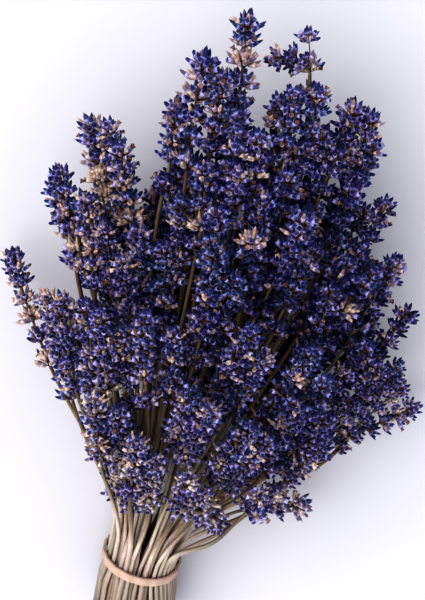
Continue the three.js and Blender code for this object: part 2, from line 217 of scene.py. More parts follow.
def from_segment(point, start, end):
    """How far a point is from a straight stretch."""
    nearest, share = geometry.intersect_point_line(point, start, end)
    nearest = start if share < 0 else end if share > 1 else nearest
    return (point - nearest).length


def room_round(base, tip, others):
    """How near the line of a spike comes to the lines of the others."""
    marks = [base.lerp(tip, share) for share in MARKS]
    return min(from_segment(mark, o.base, o.tip) for o in others for mark in marks)


def filling_spikes(standing):
    rng = random.Random(SEED)
    added = []
    for number in range(FILLING):
        best = (0, None)
        for _ in range(TRIES):
            one, other = rng.sample(standing, 2)
            if (one.tip - other.tip).length > NEIGHBOURS or max(one.tip.y, other.tip.y) > CROWN:
                continue
            share = rng.uniform(*BETWEEN)
            base = one.base.lerp(other.base, share)
            tip = one.tip.lerp(other.tip, share)
            room = room_round(base, tip, standing + added)
            if room > best[0]:
                best = (room, (base, tip))
        name = f"spike_filling_{number + 1:02d}"
        added.append(Spike(name, *best[1], rng.random() < PARTED_SHARE))
    return added


inner = [one for one in spikes if "pair" in one.node]
filling = edge + filling_spikes(inner + edge)
everyone = spikes + filling
print("spikes added:", len(filling), "spikes in all:", len(everyone))

# %% [markdown]
# ## Paint
# Colours are written as they look on a screen and turned into the linear values that shaders
# want. Small helpers keep the node trees short. They add a node and set or link its inputs, do
# a sum, make a colour ramp, bring a value from one range to another, start a material and
# dress its shader.

# %% Helpers for node trees


def paint(red, green, blue):
    """A screen colour, 0 to 255, as linear RGBA."""
    linear = [((c / 255 + 0.055) / 1.055) ** 2.4 for c in (red, green, blue)]
    return (*linear, 1)


def add(tree, kind, inputs=None, **settings):
    made = tree.nodes.new(kind)
    for key, value in settings.items():
        setattr(made, key, value)
    for name, value in (inputs or {}).items():
        if isinstance(value, bpy.types.NodeSocket):
            tree.links.new(value, made.inputs[name])
        else:
            made.inputs[name].default_value = value
    return made


def calc(tree, operation, *values):
    """A sum on numbers, in the order of the node's inputs."""
    return add(tree, "ShaderNodeMath", dict(enumerate(values)), operation=operation).outputs[0]


def ramp(tree, factor, stops):
    made = add(tree, "ShaderNodeValToRGB", {"Fac": factor})
    elements = made.color_ramp.elements
    while len(elements) < len(stops):
        elements.new(0.5)
    for element, (place, colour) in zip(elements, stops):
        element.position = place
        element.color = paint(*colour)
    return made.outputs["Color"]


def fit(tree, value, low, high, start=0, end=1):
    """A value brought from one range to another."""
    limits = {"From Min": start, "From Max": end, "To Min": low, "To Max": high}
    return add(tree, "ShaderNodeMapRange", {"Value": value, **limits}).outputs["Result"]


def new_material(name):
    """A material, its node tree and its shader."""
    made = bpy.data.materials.new(name)
    made.use_nodes = True
    return made, made.node_tree, made.node_tree.nodes["Principled BSDF"]


def dress_shader(tree, shader, colour, bump, constants):
    """Colour and bump come from nodes, and the rest is set on the shader's own sockets."""
    tree.links.new(colour, shader.inputs["Base Color"])
    tree.links.new(add(tree, "ShaderNodeBump", bump).outputs["Normal"], shader.inputs["Normal"])
    for socket, value in constants.items():
        shader.inputs[socket].default_value = value


# %% [markdown]
# Everything here but the band is dry plant, so its materials share one effect: no two calyxes,
# bracts or stems have quite the same shade, and each is mottled with fine specks. It is a node
# group, built once. Tone is a number that each small part carries. A part with a high tone is
# lighter and greyer, and from a certain tone on it takes its faded colour. A slow noise turns
# the hue a little from one patch of the bunch to the next. Towards the band the flowers turn a
# little in hue and get greyer in colour, and paler, which is painted light for the low flowers
# that lie in shade. A setting on each material says how far it takes part in that. The group
# also gives a height for a little roughness of the surface.

# %% The node group for dry plant skin
HUE_PATCHES, PATCH_RANGE = 45.0, (0.3, 0.7)
HUES, SATURATIONS = (0.48, 0.522), (1.14, 0.74)
FRESH, FADES_FROM, MOST_FADED = 0.3, 0.7, 0.9
GREYED_AND_LIT_Y, CLEAR_Y = -0.08, 0.04
GREYED_AND_LIT = {"Hue": 0.018, "Saturation": -0.25, "Value": 0.22}

dry_skin = bpy.data.node_groups.new("dry_skin", "ShaderNodeTree")
for side, names in (
    ("INPUT", {"Where": "Vector", "Color": "Color", "Faded Color": "Color", "Tone": "Float",
               "Spread": "Float", "Speck Scale": "Float", "Speck Amount": "Float",
               "Greyed And Lit": "Float"}),
    ("OUTPUT", {"Color": "Color", "Height": "Float"}),
):
    for name, kind in names.items():
        dry_skin.interface.new_socket(name, in_out=side, socket_type="NodeSocket" + kind)

given = add(dry_skin, "NodeGroupInput").outputs
specks = add(
    dry_skin, "ShaderNodeTexNoise",
    {"Vector": given["Where"], "Scale": given["Speck Scale"], "Detail": 2.0, "Roughness": 0.6},
).outputs["Fac"]
in_bunch = add(dry_skin, "ShaderNodeTexCoord").outputs["Object"]
patches = add(
    dry_skin, "ShaderNodeTexNoise", {"Vector": in_bunch, "Scale": HUE_PATCHES, "Detail": 1.0},
).outputs["Fac"]
off_tone = calc(dry_skin, "SUBTRACT", given["Tone"], 0.5)
by_tone = calc(dry_skin, "MULTIPLY_ADD", off_tone, given["Spread"], 1.0)
off_speck = calc(dry_skin, "SUBTRACT", specks, 0.5)
lightness = calc(dry_skin, "MULTIPLY_ADD", off_speck, given["Speck Amount"], by_tone)
fading = fit(dry_skin, given["Tone"], 0.0, MOST_FADED, FADES_FROM, 1.0)
faded = add(
    dry_skin, "ShaderNodeMix", {0: fading, 6: given["Color"], 7: given["Faded Color"]},
    data_type="RGBA",
).outputs[2]
from_tie = add(dry_skin, "ShaderNodeSeparateXYZ", {"Vector": in_bunch}).outputs["Y"]
# Painted light: towards the band the flowers are made paler, as well as greyer in colour.
near_tie = fit(dry_skin, from_tie, 1.0, 0.0, GREYED_AND_LIT_Y, CLEAR_Y)
greyed_and_lit_amount = calc(dry_skin, "MULTIPLY", near_tie, given["Greyed And Lit"])

untouched = {
    "Hue": fit(dry_skin, patches, *HUES, *PATCH_RANGE),
    "Saturation": fit(dry_skin, given["Tone"], *SATURATIONS, FRESH, MOST_FADED),
    "Value": lightness,
}
changed = {
    name: calc(dry_skin, "MULTIPLY_ADD", greyed_and_lit_amount, GREYED_AND_LIT[name], untouched[name]) for name in GREYED_AND_LIT
}
toned = add(dry_skin, "ShaderNodeHueSaturation", {"Color": faded, **changed}).outputs["Color"]
add(dry_skin, "NodeGroupOutput", {"Color": toned, "Height": specks})
print("node group:", dry_skin.name)

# %% [markdown]
# A material reads the colour attribute called coat from its piece. Red is the place along a
# flower or stem, green is 1 on a rib and 0 in a groove, and blue is the tone of that one small
# part. A groove is painted darker, as painted shade. Fresh and faded skin each have a ramp of
# colours along the part. Fine veins run along every part. They are too thin to model thousands
# of times, so they are a wave round the part, read from the UV map called around, that raises
# the surface and paints shade in its valleys and light on its crests. On a stem the same map
# stretches the specks into fibres. A face names its material by its place in the piece's list.

# %% A plant material
VEIN_FADE = 0.06
VEIN_HEIGHT = 0.6
FIBRE_STEP = 40
UNEVEN = {"Distance": 0.0002, "Strength": 0.6}
DOWNY = {"Specular IOR Level": 0.4, "Sheen Roughness": 0.5, "Sheen Tint": (0.72, 0.76, 1.0, 1)}


def vein_wave(tree, turns, count):
    """Goes from -1 to 1 and back, count times round a part."""
    return calc(tree, "COSINE", calc(tree, "MULTIPLY", turns, count * math.tau))


def along_fibres(tree, around, tone, stretch):
    """Where a speck is looked up, drawn out along the stem and different on each stem."""
    own = add(tree, "ShaderNodeCombineXYZ", {"Z": tone}).outputs[0]
    drawn_out, apart = (
        add(tree, "ShaderNodeVectorMath", {0: vector, 1: by}, operation="MULTIPLY").outputs[0]
        for vector, by in ((around, stretch), (own, (0, 0, FIBRE_STEP)))
    )
    return add(tree, "ShaderNodeVectorMath", {0: drawn_out, 1: apart}).outputs[0]


def plant_material(
    name, stops, faded, spread, speck, sheen, roughness, groove, veins, fibres=None, greyed_and_lit_share=1.0,
):
    """Dry plant. speck is (scale, amount), veins (count, shade, where they end along the part)."""
    material, tree, shader = new_material(name)
    coat = add(tree, "ShaderNodeAttribute", attribute_name="coat").outputs["Color"]
    parts = add(tree, "ShaderNodeSeparateColor", {"Color": coat}).outputs
    around = add(tree, "ShaderNodeUVMap", uv_map="around").outputs["UV"]
    turns = add(tree, "ShaderNodeSeparateXYZ", {"Vector": around}).outputs["X"]
    # Painted shade: grooves and the valleys between veins are darkened, and the crests of the veins
    # are lightened as painted light.
    veined = fit(tree, parts["Red"], 1.0, 0.0, veins[2], veins[2] + VEIN_FADE)
    raised = calc(tree, "MULTIPLY", vein_wave(tree, turns, veins[0]), veined)
    in_vein = fit(tree, raised, veins[1], 2 - veins[1], -1, 1)
    shade = calc(tree, "MULTIPLY", fit(tree, parts["Green"], groove, 1.0), in_vein)
    fresh_skin, faded_skin = [
        add(
            tree, "ShaderNodeHueSaturation",
            {"Color": ramp(tree, parts["Red"], colours), "Value": shade},
        ).outputs["Color"]
        for colours in (stops, faded)
    ]
    if fibres:
        where = along_fibres(tree, around, parts["Blue"], fibres)
    else:
        where = add(tree, "ShaderNodeTexCoord").outputs["Object"]
    skin = add(
        tree, "ShaderNodeGroup",
        {"Where": where, "Color": fresh_skin, "Faded Color": faded_skin, "Tone": parts["Blue"],
         "Spread": spread, "Speck Scale": speck[0], "Speck Amount": speck[1],
         "Greyed And Lit": greyed_and_lit_share},
        node_tree=dry_skin,
    ).outputs
    height = calc(tree, "MULTIPLY_ADD", raised, VEIN_HEIGHT, skin["Height"])
    dress_shader(
        tree, shader, skin["Color"], {"Height": height, **UNEVEN},
        {"Roughness": roughness, "Sheen Weight": sheen, **DOWNY},
    )
    return material


# %% The five plant materials
CALYX = plant_material(
    "calyx_and_bud",
    [(0.0, (168, 134, 110)), (0.24, (150, 124, 120)), (0.42, (114, 102, 144)),
     (0.56, (160, 160, 206)), (0.62, (57, 61, 116)), (0.84, (29, 33, 80)),
     (1.0, (78, 84, 136))],
    faded=[(0.0, (138, 108, 82)), (0.5, (182, 156, 128)), (0.62, (132, 104, 84)),
           (1.0, (164, 136, 108))],
    spread=1.7, speck=(1100, 0.6), sheen=0.2, roughness=0.6,
    groove=0.6, veins=(9, 0.6, 0.56),
)
BRACT = plant_material(
    "papery_bract",
    [(0.0, (96, 72, 62)), (0.45, (138, 108, 90)), (1.0, (174, 144, 120))],
    faded=[(0.0, (88, 52, 40)), (1.0, (118, 76, 58))],
    spread=1.0, speck=(900, 0.5), sheen=0.1, roughness=0.75,
    groove=0.8, veins=(7, 0.75, 1.2),
)
PETAL = plant_material(
    "withered_petal",
    [(0.0, (120, 94, 112)), (0.5, (150, 122, 122)), (0.8, (178, 146, 128)),
     (1.0, (140, 100, 80))],
    faded=[(0.0, (96, 66, 58)), (1.0, (126, 90, 72))],
    spread=1.0, speck=(1300, 0.7), sheen=0.2, roughness=0.75,
    groove=0.7, veins=(10, 0.75, 1.2),
)
# Along a stem the colour is lightest just above the band, painted light where the heads shade the
# stems, and darkens to olive towards the spikes, partly its own olive and partly painted shade
# inside the fan. The stalks inside the whorls take that dark end too.
STRAW = plant_material(
    "stem_straw",
    [(0.0, (170, 156, 142)), (0.35, (228, 215, 201)), (0.6, (184, 168, 144)),
     (1.0, (116, 100, 80))],
    faded=[(0.0, (166, 154, 132)), (1.0, (142, 136, 108))],
    spread=0.28, speck=(1, 0.7), sheen=0.05, roughness=0.65,
    groove=0.93, veins=(16, 0.94, 1.2), fibres=(14, 1.6, 0), greyed_and_lit_share=0.0,
)
PITH = plant_material(
    "cut_pith", [(0.0, (222, 208, 180)), (1.0, (206, 190, 160))],
    faded=[(0.0, (196, 176, 142)), (1.0, (182, 162, 128))],
    spread=0.3, speck=(1500, 0.7), sheen=0.0, roughness=0.9,
    groove=1.0, veins=(1, 1.0, 1.2), greyed_and_lit_share=0.0,
)
SPIKE_COATS = [CALYX, BRACT, PETAL, STRAW]
ON_CALYX, ON_BRACT, ON_PETAL, ON_STALK = range(4)
STEM_COATS = [STRAW, PITH]
ON_STEM, ON_CUT = range(2)
print("plant materials:", [m.name for m in (*SPIKE_COATS, PITH)])

# %% [markdown]
# ## One flower
# A dried lavender flower is a ribbed calyx like a small barrel, with a dark closed bud in its
# mouth. A profile spun round its axis gives the barrel and bud, and the angle round the axis is
# kept in the UV map for the veins. There are several kinds: with a blunt or a pointed bud, with
# an empty mouth, a young one, and the crumpled funnel of a withered corolla, where every second
# meridian is pulled in. Each has a few dozen faces, because the bunch has thousands.

# %% Profiles of the flower kinds: radius, height, and place in the colour ramp
SIDES = 6
FLOWER_LENGTH = 7.5
BLUNT = [
    (0, 0, 0), (1.0, 1.5, 0.2), (1.25, 4.3, 0.56), (0.84, 4.9, 0.63), (0.78, 6.4, 0.86), (0, 7.3, 1),
]
POINTED = [
    (0, 0, 0), (0.95, 1.5, 0.2), (1.2, 4.0, 0.56), (0.8, 4.7, 0.64), (0.62, 6.2, 0.86), (0, 7.6, 1),
]
EMPTY = [
    (0, 0, 0), (0.95, 1.6, 0.2), (1.25, 4.0, 0.5), (1.2, 5.6, 0.57), (0.7, 4.2, 0.8),
    (0, 3.8, 0.85),
]
YOUNG = [(0, 0, 0), (0.9, 1.3, 0.25), (1.0, 3.3, 0.57), (0.7, 4.6, 0.75), (0, 6.0, 1)]
COROLLA = [
    (0, 3.4, 0.1), (0.7, 4.6, 0.3), (0.75, 6.0, 0.6), (1.5, 7.3, 1.0), (0.5, 6.7, 0.7),
    (0, 5.6, 0.3),
]
print("points in a bud's profile:", len(BLUNT))

# %% Close, smooth and unroll a shape
MERGE = 0.001
ON_AXIS = 0.01


def close(shape):
    """Merges points that lie together, then turns the faces outwards."""
    bmesh.ops.remove_doubles(shape, verts=shape.verts, dist=MERGE)
    bmesh.ops.recalc_face_normals(shape, faces=shape.faces)


def spin_round(shape, outline, steps):
    """Spins points and edges all the way round the z axis."""
    bmesh.ops.spin(
        shape, geom=outline, cent=(0, 0, 0), axis=(0, 0, 1), angle=math.tau, steps=steps,
        use_merge=True,
    )
    close(shape)


def smooth(shape, material_index=0):
    for face in shape.faces:
        face.smooth = True
        face.material_index = material_index


def unrolled(shape):
    """Writes the turn round the axis, 0 to 1, as the first UV coordinate of each face corner."""
    around = shape.loops.layers.uv.new("around")
    for face in shape.faces:
        middle = face.calc_center_median()
        start = math.atan2(middle.y, middle.x)
        for loop in face.loops:
            spot = loop.vert.co
            turn = math.atan2(spot.y, spot.x) if spot.xy.length > ON_AXIS else start
            turn = start + (turn - start + math.pi) % math.tau - math.pi
            loop[around].uv = (turn / math.tau, spot.z)


# %% Spin a profile
PLAIN_TONE = 0.5


def spun(profile, material_index=ON_CALYX, groove=1.0):
    """A closed shape spun from a profile, with every second meridian pulled in by groove."""
    made = bmesh.new()
    coat = made.verts.layers.float_color.new("coat")
    line = [made.verts.new((radius, 0, height)) for radius, height, _ in profile]
    for vert, (_, _, place) in zip(line, profile):
        vert[coat] = (place, 1, PLAIN_TONE, 1)
    edges = [made.edges.new(ends) for ends in zip(line, line[1:])]
    spin_round(made, line + edges, SIDES)
    unrolled(made)
    for vert in made.verts:
        meridian = round(math.atan2(vert.co.y, vert.co.x) / (math.tau / SIDES))
        if groove < 1 and meridian % 2:
            vert.co.xy *= groove
            vert[coat] = (vert[coat][0], 0, PLAIN_TONE, 1)
    smooth(made, material_index)
    return made


# %% Bend, crumple and keep a flower
CRUMPLE_SCALE, CRUMPLE = 0.9, 0.6


def bent(shape, sideways):
    """Curves a flower back towards its spike as it rises."""
    for vert in shape.verts:
        vert.co.x -= sideways * (vert.co.z / FLOWER_LENGTH) ** 2
    return shape


def crumpled(shape, seed):
    for vert in shape.verts:
        spot = vert.co * CRUMPLE_SCALE + Vector((seed, 0, 0))
        vert.co += noise.noise_vector(spot) * CRUMPLE
    return shape


def as_mesh(shape, name):
    """Writes a bmesh out as a mesh and frees it."""
    mesh = bpy.data.meshes.new(name)
    shape.to_mesh(mesh)
    shape.free()
    return mesh


# %% Build the flower kinds
budded = [
    as_mesh(bent(spun(profile), sideways), "budded")
    for profile, sideways in ((BLUNT, 0.1), (POINTED, 0.6), (BLUNT, 0.9), (POINTED, 1.4))
]
empty = [as_mesh(bent(spun(EMPTY), sideways), "empty") for sideways in (0.2, 0.9)]
young = as_mesh(bent(spun(YOUNG), 0.4), "young")
withered = [
    as_mesh(crumpled(spun(COROLLA, ON_PETAL, 0.55), seed), "withered") for seed in (1, 4, 9)
]
print("faces of a budded flower:", len(budded[0].polygons), "of a young one:", len(young.polygons))

# %% [markdown]
# ## A bract
# Under each whorl sit small papery bracts, brown and pointed. A grid is drawn to a pointed
# outline, cupped, and given a thickness. The grid's last row comes together in the point, so
# its three points are merged into one before the normals are set.

# %% Build the bract
BRACT_LENGTH, BRACT_WIDTH, BRACT_THICKNESS = 4.6, 3.8, 0.2
BRACT_FOOT, BRACT_SWEEP, BRACT_BELLY = 0.12, 0.9, 0.8
BRACT_ARCH, BRACT_CUP = 0.9, 0.8
HALF = 0.5


def bract_template():
    made = bmesh.new()
    coat = made.verts.layers.float_color.new("coat")
    around = made.loops.layers.uv.new("around")
    bmesh.ops.create_grid(made, x_segments=2, y_segments=2, size=HALF)
    for face in made.faces:
        for loop in face.loops:
            loop[around].uv = loop.vert.co.xy
    for vert in made.verts:
        side, rise = vert.co.x / HALF, vert.co.y + HALF
        outline = math.sin(math.pi * min(BRACT_FOOT + rise * BRACT_SWEEP, 1)) ** BRACT_BELLY
        half = BRACT_WIDTH / 2 * outline
        vert.co = (
            BRACT_ARCH * rise**2 - BRACT_CUP * side**2 * half / BRACT_WIDTH,
            side * half,
            rise * BRACT_LENGTH,
        )
        vert[coat] = (rise, 1 - abs(side), PLAIN_TONE, 1)
    close(made)
    bmesh.ops.solidify(made, geom=made.faces[:], thickness=BRACT_THICKNESS)
    smooth(made, ON_BRACT)
    return as_mesh(made, "bract")


bract = bract_template()
print("faces of a bract:", len(bract.polygons))

# %% [markdown]
# ## Stems
# A lavender stem is square, with a groove down each face. A ring of eight corners is extruded
# row by row, and each row is then set square to the stem's path. Four corners reach further out
# than the middles of the faces, and the row's size can change along the way.

# %% Laying a square section along a path
SECTION = 8
CORNER, MIDDLE = 1.3, 0.9


def along_path(path, turn):
    """Two directions square to the path at each of its points, without twisting."""
    last = len(path) - 1
    steps = [(path[min(i + 1, last)] - path[max(i - 1, 0)]).normalized() for i in range(last + 1)]
    side = Quaternion(steps[0], turn) @ steps[0].orthogonal().normalized()
    squares = []
    for before, step in zip([steps[0], *steps], steps):
        side = before.rotation_difference(step) @ side
        squares.append((side.copy(), step.cross(side)))
    return squares


def stalk_template(rows):
    """A straight stalk of radius 1 with its rows one apart, its first face at the foot."""
    made = bmesh.new()
    made.verts.layers.float_color.new("coat")
    bmesh.ops.create_circle(made, segments=SECTION, radius=1)
    rim = made.edges[:]
    bmesh.ops.contextual_create(made, geom=rim)
    for _ in range(rows):
        grown = bmesh.ops.extrude_edge_only(made, edges=rim)["geom"]
        ring = [part for part in grown if isinstance(part, bmesh.types.BMVert)]
        rim = [part for part in grown if isinstance(part, bmesh.types.BMEdge)]
        bmesh.ops.translate(made, vec=(0, 0, 1), verts=ring)
    bmesh.ops.contextual_create(made, geom=rim)
    bmesh.ops.recalc_face_normals(made, faces=made.faces)
    unrolled(made)
    for face in made.faces:
        face.smooth = len(face.verts) < SECTION
    return as_mesh(made, "stalk")


def added_copy(piece, template):
    """Adds a template to a piece and returns the points and faces that it brought."""
    vert_count, face_count = len(piece.verts), len(piece.faces)
    piece.from_mesh(template)
    piece.verts.ensure_lookup_table()
    piece.faces.ensure_lookup_table()
    return piece.verts[vert_count:], piece.faces[face_count:]


stalk_templates = {}


def stalk(piece, path, radii, places, tone, turn, material_index):
    """A ridged square stalk along a path. Returns the face at its foot."""
    coat = piece.verts.layers.float_color["coat"]
    rows = len(path) - 1
    if rows not in stalk_templates:
        stalk_templates[rows] = stalk_template(rows)
    verts, faces = added_copy(piece, stalk_templates[rows])
    squares = along_path(path, turn)
    for vert in verts:
        row = round(vert.co.z)
        angle = math.atan2(vert.co.y, vert.co.x)
        corner = round(angle / (math.tau / SECTION)) % 2 == 0
        reach = radii[row] * (CORNER if corner else MIDDLE)
        across, over = squares[row]
        vert.co = path[row] + (across * math.cos(angle) + over * math.sin(angle)) * reach
        vert[coat] = (places[row], 1.0 if corner else 0.0, tone, 1)
    for face in faces:
        face.material_index = material_index
    return faces[0]


# %% [markdown]
# ## Making a piece
# Each piece is a bmesh with the coat attribute. It is brought to metres, becomes an object at
# the origin, and rides on the only body.

# %% Start and finish a piece
REST_FROM, REST_AT = 1.2, 0.1


def rested(height):
    """The lowest parts are pressed flat on the surface by the weight of the bunch."""
    if height >= REST_FROM:
        return height
    room = REST_FROM - REST_AT
    return REST_AT + room * math.exp((height - REST_FROM) / room)


def new_piece():
    piece = bmesh.new()
    piece.verts.layers.float_color.new("coat")
    piece.loops.layers.uv.new("around")
    return piece


def finish_piece(piece, name, materials, replaced=()):
    """Turns a bmesh into an object of the bunch. Returns how many triangles it has."""
    for vert in piece.verts:
        vert.co.z = rested(vert.co.z)
    bmesh.ops.scale(piece, vec=(MM, MM, MM), verts=piece.verts)
    mesh = as_mesh(piece, name)
    for material in materials:
        mesh.materials.append(material)
    made = in_scene(name, mesh)
    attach(made, "root")
    if replaced:
        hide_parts(*replaced)
    mesh.calc_loop_triangles()
    return len(mesh.loop_triangles)


def place(piece, template, matrix, tone):
    """Adds a copy of a template to a piece, in its place and with its tone."""
    coat = piece.verts.layers.float_color["coat"]
    for vert in added_copy(piece, template)[0]:
        vert.co = matrix @ vert.co
        along, rib, _, _ = vert[coat]
        vert[coat] = (along, rib, tone, 1)


# %% [markdown]
# ## The line of a spike
# No spike is quite straight. Its line is a curve from foot to tip, drawn aside in the middle by
# its bow, and a few that stand alone in the photograph have a bow of their own.

# %% Points and directions on a spike's line
OWN_BOWS = {
    "spike_crown_twig": (8, 9, 0), "spike_stray_left": (-4, 4, 0),
    "spike_stray_right": (0, -3, 0), "spike_stray_low": (0, 3, 2),
}
BOW = 1.8


def give_or_take(rng, most):
    return rng.uniform(-most, most)


def bow_of(one):
    if one.node in OWN_BOWS:
        return Vector(OWN_BOWS[one.node])
    rng = random.Random(f"{SEED} bow {one.node} {one.base.x:.3f}")
    return Vector([give_or_take(rng, BOW) for _ in range(3)])


def handle_of(one):
    """The curve's middle handle, twice as far aside as the curve itself."""
    return (one.base + one.tip) / 2 + bow_of(one) * 2


def point_at(one, share):
    handle = handle_of(one)
    return one.base.lerp(handle, share).lerp(handle.lerp(one.tip, share), share)


def axis_at(one, share):
    handle = handle_of(one)
    return (handle - one.base).lerp(one.tip - handle, share).normalized()


print("bows of their own:", sorted(OWN_BOWS))

# %% [markdown]
# ## Stems through the band
# A stem's place in the band follows from the direction of its spike, as in the solid: stems are
# pushed apart until they lie side by side. From there each bends out to its spike's foot.

# %% Places in the band
FAN_TURN = math.radians(1.5)
SPREAD_SIDE, SPREAD_UP, SPREAD_DOWN = (math.radians(a) for a in (31, 34, 20))
SLOT_ROOM = 17.35
STEM_PITCH = 2.9
PUSHES = 60
LEAST_GAP = 0.001


def slot_of(base):
    """A stem's wished place in the band's opening."""
    offset = base - TIE
    side = (math.atan2(offset.x, offset.y) - FAN_TURN) / SPREAD_SIDE
    lift = math.atan2(offset.z, math.hypot(offset.x, offset.y)) - BUNDLE_RISE
    slot = Vector((side, lift / (SPREAD_UP if lift > 0 else SPREAD_DOWN)))
    return slot * (SLOT_ROOM / max(1, slot.length))


def pack(slots):
    """Pushes neighbours apart and keeps them all inside the band."""
    for _ in range(PUSHES):
        for i, a in enumerate(slots):
            for b in slots[i + 1:]:
                gap = b - a
                short = STEM_PITCH - gap.length
                if short > 0:
                    gap *= short / 2 / max(gap.length, LEAST_GAP)
                    a -= gap
                    b += gap
        for slot in slots:
            if slot.length > SLOT_ROOM:
                slot *= SLOT_ROOM / slot.length


slots = [slot_of(one.base) for one in everyone]
pack(slots)
print("stems packed; widest from the middle:", round(max(s.length for s in slots), 2), "mm")

# %% [markdown]
# A stem runs from its cut end through a slight knee and the band. A stem to a far spike stays in
# the bundle for a while before it leaves, and the stems at the left and at the right of the
# bundle's middle lean apart there. The last stretch is a Bezier curve that arrives in line with
# its spike, with a little wandering, as no dried stem is quite straight.

# %% The path of a stem
STRAIGHT = 5
STUB, STUB_SHIFT, STUB_UNEVEN, FLARE = 40, 4, 4, 1.2
KNEE_AT, KNEE_FLARE, KNEE_SHIFT, KNEE_UNEVEN = -15, 1.12, 1.2, (0.8, 0.5)
STAY, STAY_FROM, STAY_OVER = 20, 45, 70
STAY_WIDER, SOME_STAY = 0.08, 0.2
PARTING, PARTING_WIDTH = 2.4, 5.0
STEM_STEPS = 14
INTO_SPIKE = 0.3
TOWARDS_FOOT = 0.6
LEAVING_PULL, ARRIVING_PULL, LEAST_PULL = 0.26, 0.3, 0.3
WANDER, WANDER_SCALE, WANDER_ROOM = (0.4, 1.4), 0.02, 99


def in_bundle(slot, along, widen=1.0):
    return TIE + ACROSS * slot.x * widen + UPWARD * slot.y * widen + ALONG * along


def parted_sideways(slot):
    """Stems on either side of the bundle's middle lean apart above the band."""
    return math.copysign(PARTING, slot.x) * math.exp(-((slot.x / PARTING_WIDTH) ** 2))


def stem_path(one, slot, rng):
    """Points from the cut end through the band to the spike's foot."""
    axis = axis_at(one, 0)
    stay = min(max(((one.base - TIE).dot(ALONG) - STAY_FROM) / STAY_OVER, 0), 1)
    start = in_bundle(slot, STRAIGHT + STAY * stay, 1 + STAY_WIDER * stay)
    start += ACROSS * parted_sideways(slot) * stay
    foot = one.base + axis * INTO_SPIKE
    far = (foot - start).length
    chord = (foot - start) / far
    late = max(axis.dot(chord) ** 2, LEAST_PULL)
    leaving = (chord * TOWARDS_FOOT + ALONG).normalized()
    bend = geometry.interpolate_bezier(
        start, start + leaving * far * LEAVING_PULL, foot - axis * far * ARRIVING_PULL * late,
        foot, STEM_STEPS,
    )
    wander = rng.uniform(*WANDER)
    seed = Vector([rng.uniform(0, WANDER_ROOM) for _ in range(3)])
    for i, point in enumerate(bend):
        share = i / (STEM_STEPS - 1)
        sway = noise.noise_vector(seed + point * WANDER_SCALE) * wander
        bend[i] = point + sway * math.sin(math.pi * share)
    cut = in_bundle(slot, -STUB + give_or_take(rng, STUB_UNEVEN), FLARE) + ACROSS * STUB_SHIFT
    under = in_bundle(slot, -STRAIGHT)
    above = in_bundle(slot, STRAIGHT)
    knee = in_bundle(slot, KNEE_AT, KNEE_FLARE) + ACROSS * KNEE_SHIFT
    sideways, upwards = (give_or_take(rng, most) for most in KNEE_UNEVEN)
    knee += Vector((sideways, 0, upwards))
    return [cut, knee, under, *([above] if stay > SOME_STAY else []), *bend]


# %% Build the stems
FOOT_THICK, TIP_THICK = 1.1, 0.68
THICKNESS = (0.9, 1.12)
ANY_QUARTER = 1.57
CUT_RIM, CUT_DEPTH = 0.3, -0.15


def build_stems():
    piece = new_piece()
    ends = []
    for one, slot in zip(everyone, slots):
        rng = random.Random(f"{SEED} stem {one.node} {one.base.x:.3f}")
        path = stem_path(one, slot, rng)
        last = len(path) - 1
        thick = rng.uniform(*THICKNESS)
        shares = [i / last for i in range(last + 1)]
        radii = [thick * (FOOT_THICK + (TIP_THICK - FOOT_THICK) * share) for share in shares]
        tone, turn = rng.random(), rng.uniform(0, ANY_QUARTER)
        ends.append(stalk(piece, path, radii, shares, tone, turn, ON_STEM))
    bmesh.ops.inset_individual(piece, faces=ends, thickness=CUT_RIM, depth=CUT_DEPTH)
    for face in ends:
        face.material_index = ON_CUT
        face.smooth = False
    return finish_piece(piece, "stems_fine", STEM_COATS, ["stems"])


triangles = {"stems_fine": build_stems()}
print("stems:", triangles["stems_fine"], "triangles")

# %% [markdown]
# ## A flower spike
# The flowers stand in whorls round the square stem, and towards the tip the whorls crowd. A
# parted spike has its lowest whorl alone, with bare stem above it. Where the last whorl would
# leave a long bare tip, one more begins in it. Some spikes that stand out in the photograph
# have whorls of their own, and are fuller or thinner than the rest.

# %% Where the whorls begin, as shares of the spike
OWN_WHORLS = {
    "spike_crown_twig": [0.5, 0.7, 0.86],
    "spike_crown_sprig": [0.0, 0.42, 0.84],
    "spike_stray_low": [0.16, 0.42, 0.7],
    "spike_pair_33": [0.25, 0.5, 0.78],
    "spike_pair_38": [0.55, 0.76],
}
OWN_FULLNESS = {
    "spike_crown_twig": 0.82, "spike_crown_sprig": 0.8, "spike_crown": 1.12,
    "spike_crown_left": 1.15, "spike_shoulder_left": 1.1, "spike_stray_low": 1.15,
    "spike_flank_low": 0.85, "spike_flank_right": 0.88, "spike_pair_35": 0.82,
    "spike_pair_22": 0.9, "spike_pair_27": 0.9,
}
LONE_PITCH = 1.6
CLOSEST, LOOSER, LEAST_LEFT = 0.8, 0.3, 0.3
LONGEST_TUFT, TUFT_FROM = 12, 0.42


def whorl_starts(one):
    if one.node in OWN_WHORLS:
        return OWN_WHORLS[one.node]
    length = (one.tip - one.base).length
    rows, pitch = row_pitch(length, one.parted)
    starts = [0.0]
    if one.parted:
        starts.append(pitch * LONE_PITCH)
    while len(starts) < rows:
        left = min(max((length - starts[-1]) / length, LEAST_LEFT), 1)
        starts.append(starts[-1] + pitch * (CLOSEST + LOOSER * left))
    if length - starts[-1] > LONGEST_TUFT:
        starts.append(starts[-1] + TUFT_FROM * (length - starts[-1]))
    return [start / length for start in starts]


# %% [markdown]
# In one whorl there are tiers: the lowest spreads wide, the next stands half up, and the last
# stands close to the stem. Each flower is a copy of one of the kinds, leaning out from the
# spike's line, with a tone of its own. Most have a bud, some an empty mouth, and from a few of
# these a withered corolla hangs.

